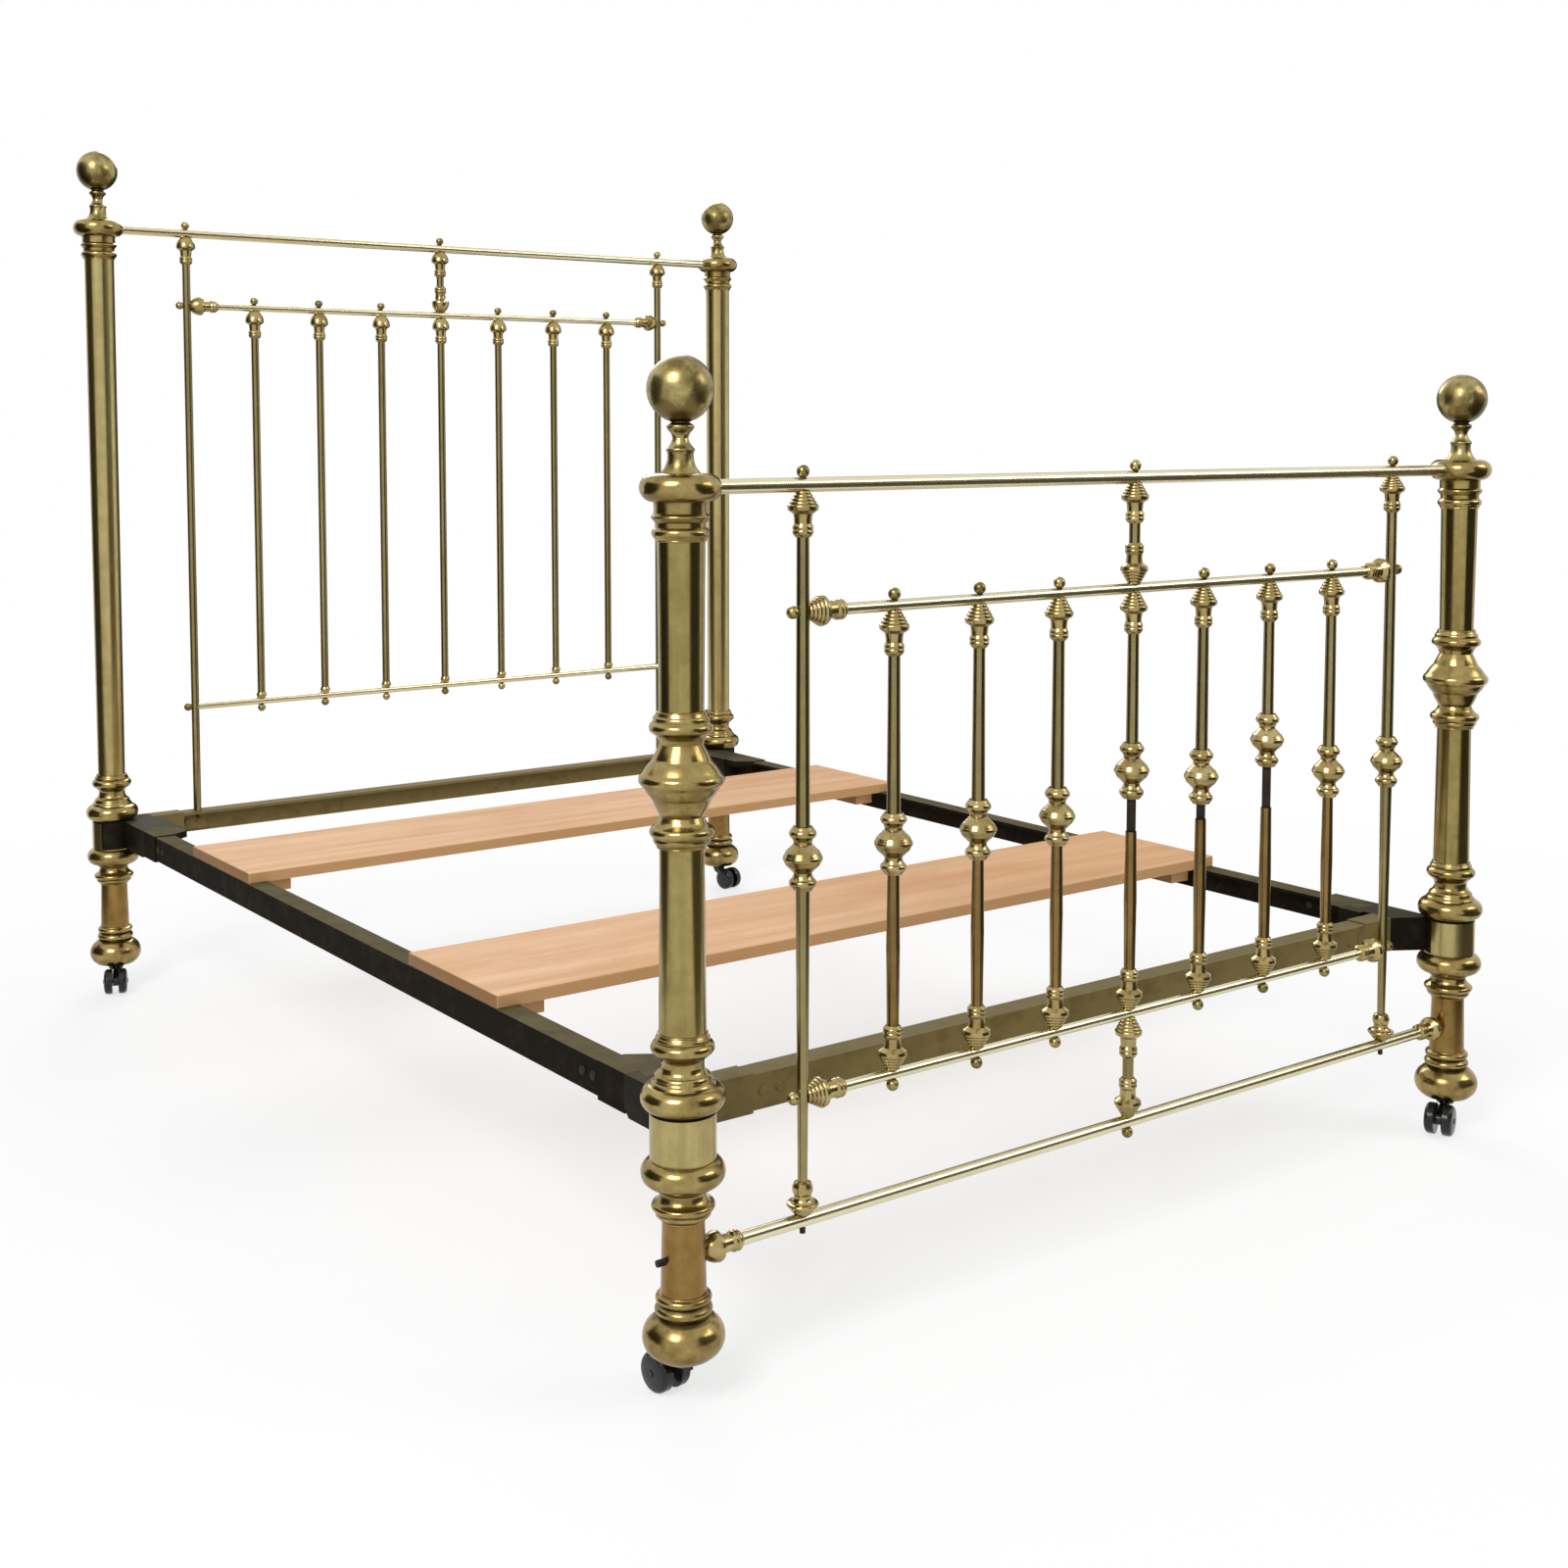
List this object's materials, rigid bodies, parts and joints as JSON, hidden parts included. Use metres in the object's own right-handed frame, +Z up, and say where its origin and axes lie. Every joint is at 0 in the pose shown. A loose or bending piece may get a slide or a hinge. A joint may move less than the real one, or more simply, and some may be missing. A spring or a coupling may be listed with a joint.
{
  "type": "metal bed frame",
  "caption": "Antique brass double bed frame with ball finials, spindled head and foot panels, angle irons, casters and loose boards.",
  "frame": {"origin": "on the floor under the middle of the bed", "axes": "+Z up, +X across the bed to the right seen from the foot end, +Y from the foot end to the head end"},
  "size_m": [1.473, 2.0228, 1.56],
  "materials": {
    "brass_tube": "aged polished",
    "brass_cast": "aged polished",
    "black_iron": "gloss black",
    "dark_iron": "satin, dusty",
    "olive_paint": "satin, dusty",
    "bare_iron": "dull",
    "wood": "bare"
  },
  "bodies": {
    "frame": {"ball_nuts": "brass_cast", "ball_screws": "brass_cast", "centre_balusters": "brass_tube", "corner_sleeves": "brass_tube", "cross_iron_castings": "olive_paint", "cross_iron_rivets": "olive_paint", "finials": "brass_cast", "foot_bottom_rail": "brass_tube", "foot_cross_iron": "olive_paint", "foot_left_chill": "black_iron", "foot_lower_rail": "brass_tube", "foot_lower_spindle_tubes": "brass_tube", "foot_post_knops": "brass_cast", "foot_post_tubes": "brass_tube", "foot_right_chill": "black_iron", "foot_spindle_cups": "brass_cast", "foot_stile_feet": "brass_cast", "foot_stiles": "brass_tube", "foot_top_rail": "brass_tube", "foot_upper_rail": "brass_tube", "foot_upper_spindle_tubes": "brass_tube", "head_cross_iron": "olive_paint", "head_left_chill": "black_iron", "head_lower_rail": "brass_tube", "head_middle_rail": "brass_tube", "head_post_tubes": "brass_tube", "head_right_chill": "black_iron", "head_spindle_cups": "brass_cast", "head_spindle_ferrules": "brass_cast", "head_spindle_tubes": "brass_tube", "head_stiles": "brass_tube", "head_top_rail": "brass_tube", "iron_fasteners": "bare_iron", "left_side_iron": "dark_iron", "leg_collars": "brass_cast", "leg_tubes": "brass_tube", "post_capitals": "brass_cast", "post_collars": "brass_cast", "post_feet": "brass_cast", "post_pillars": "bare_iron", "rail_collars": "brass_cast", "right_side_iron": "dark_iron", "seated_knops": "brass_cast", "side_iron_castings": "dark_iron", "spindle_rods": "bare_iron"},
    "foot_left_caster": {"foot_left_caster_horn": "black_iron"},
    "foot_left_wheels": {"foot_left_caster_wheels": "black_iron"},
    "foot_right_caster": {"foot_right_caster_horn": "black_iron"},
    "foot_right_wheels": {"foot_right_caster_wheels": "black_iron"},
    "head_left_caster": {"head_left_caster_horn": "black_iron"},
    "head_left_wheels": {"head_left_caster_wheels": "black_iron"},
    "head_right_caster": {"head_right_caster_horn": "black_iron"},
    "head_right_wheels": {"head_right_caster_wheels": "black_iron"},
    "near_board": {"near_board": "wood", "near_board_cleats": "wood"},
    "far_board": {"far_board": "wood", "far_board_cleats": "wood"},
    "loose_knop_centre": {"loose_knop_centre": "brass_cast"},
    "loose_knop_inner": {"loose_knop_inner": "brass_cast"},
    "loose_knop_outer": {"loose_knop_outer": "brass_cast"}
  },
  "joints": [
    {"name": "foot_left_swivel", "type": "hinge", "parent": "frame", "child": "foot_left_caster", "pos_m": [-0.69, -0.965, 0.05], "axis": [0, 0, 1], "continuous": true},
    {"name": "foot_left_roll", "type": "hinge", "parent": "foot_left_caster", "child": "foot_left_wheels", "pos_m": [-0.69279, -0.93312, 0.023], "axis": [-0.9962, -0.0872, 0], "continuous": true},
    {"name": "foot_right_swivel", "type": "hinge", "parent": "frame", "child": "foot_right_caster", "pos_m": [0.69, -0.965, 0.05], "axis": [0, 0, 1], "continuous": true},
    {"name": "foot_right_roll", "type": "hinge", "parent": "foot_right_caster", "child": "foot_right_wheels", "pos_m": [0.66033, -0.97699, 0.023], "axis": [0.3746, -0.9272, 0], "continuous": true},
    {"name": "head_left_swivel", "type": "hinge", "parent": "frame", "child": "head_left_caster", "pos_m": [-0.69, 0.965, 0.05], "axis": [0, 0, 1], "continuous": true},
    {"name": "head_left_roll", "type": "hinge", "parent": "head_left_caster", "child": "head_left_wheels", "pos_m": [-0.70094, 0.93493, 0.023], "axis": [0.9397, -0.342, 0], "continuous": true},
    {"name": "head_right_swivel", "type": "hinge", "parent": "frame", "child": "head_right_caster", "pos_m": [0.69, 0.965, 0.05], "axis": [0, 0, 1], "continuous": true},
    {"name": "head_right_roll", "type": "hinge", "parent": "head_right_caster", "child": "head_right_wheels", "pos_m": [0.69556, 0.93349, 0.023], "axis": [0.9848, 0.1736, 0], "continuous": true},
    {"name": "near_board_lift", "type": "slide", "parent": "frame", "child": "near_board", "axis": [0, 0, 1], "range_m": [0, 0.25]},
    {"name": "far_board_lift", "type": "slide", "parent": "frame", "child": "far_board", "axis": [0, 0, 1], "range_m": [0, 0.25]},
    {"name": "loose_knop_centre_slide", "type": "slide", "parent": "frame", "child": "loose_knop_centre", "axis": [0, 0, 1], "range_m": [-0.0428, 0.015]},
    {"name": "loose_knop_inner_slide", "type": "slide", "parent": "frame", "child": "loose_knop_inner", "axis": [0, 0, 1], "range_m": [-0.0208, 0.037]},
    {"name": "loose_knop_outer_slide", "type": "slide", "parent": "frame", "child": "loose_knop_outer", "axis": [0, 0, 1], "range_m": [-0.0568, 0.001]}
  ]
}
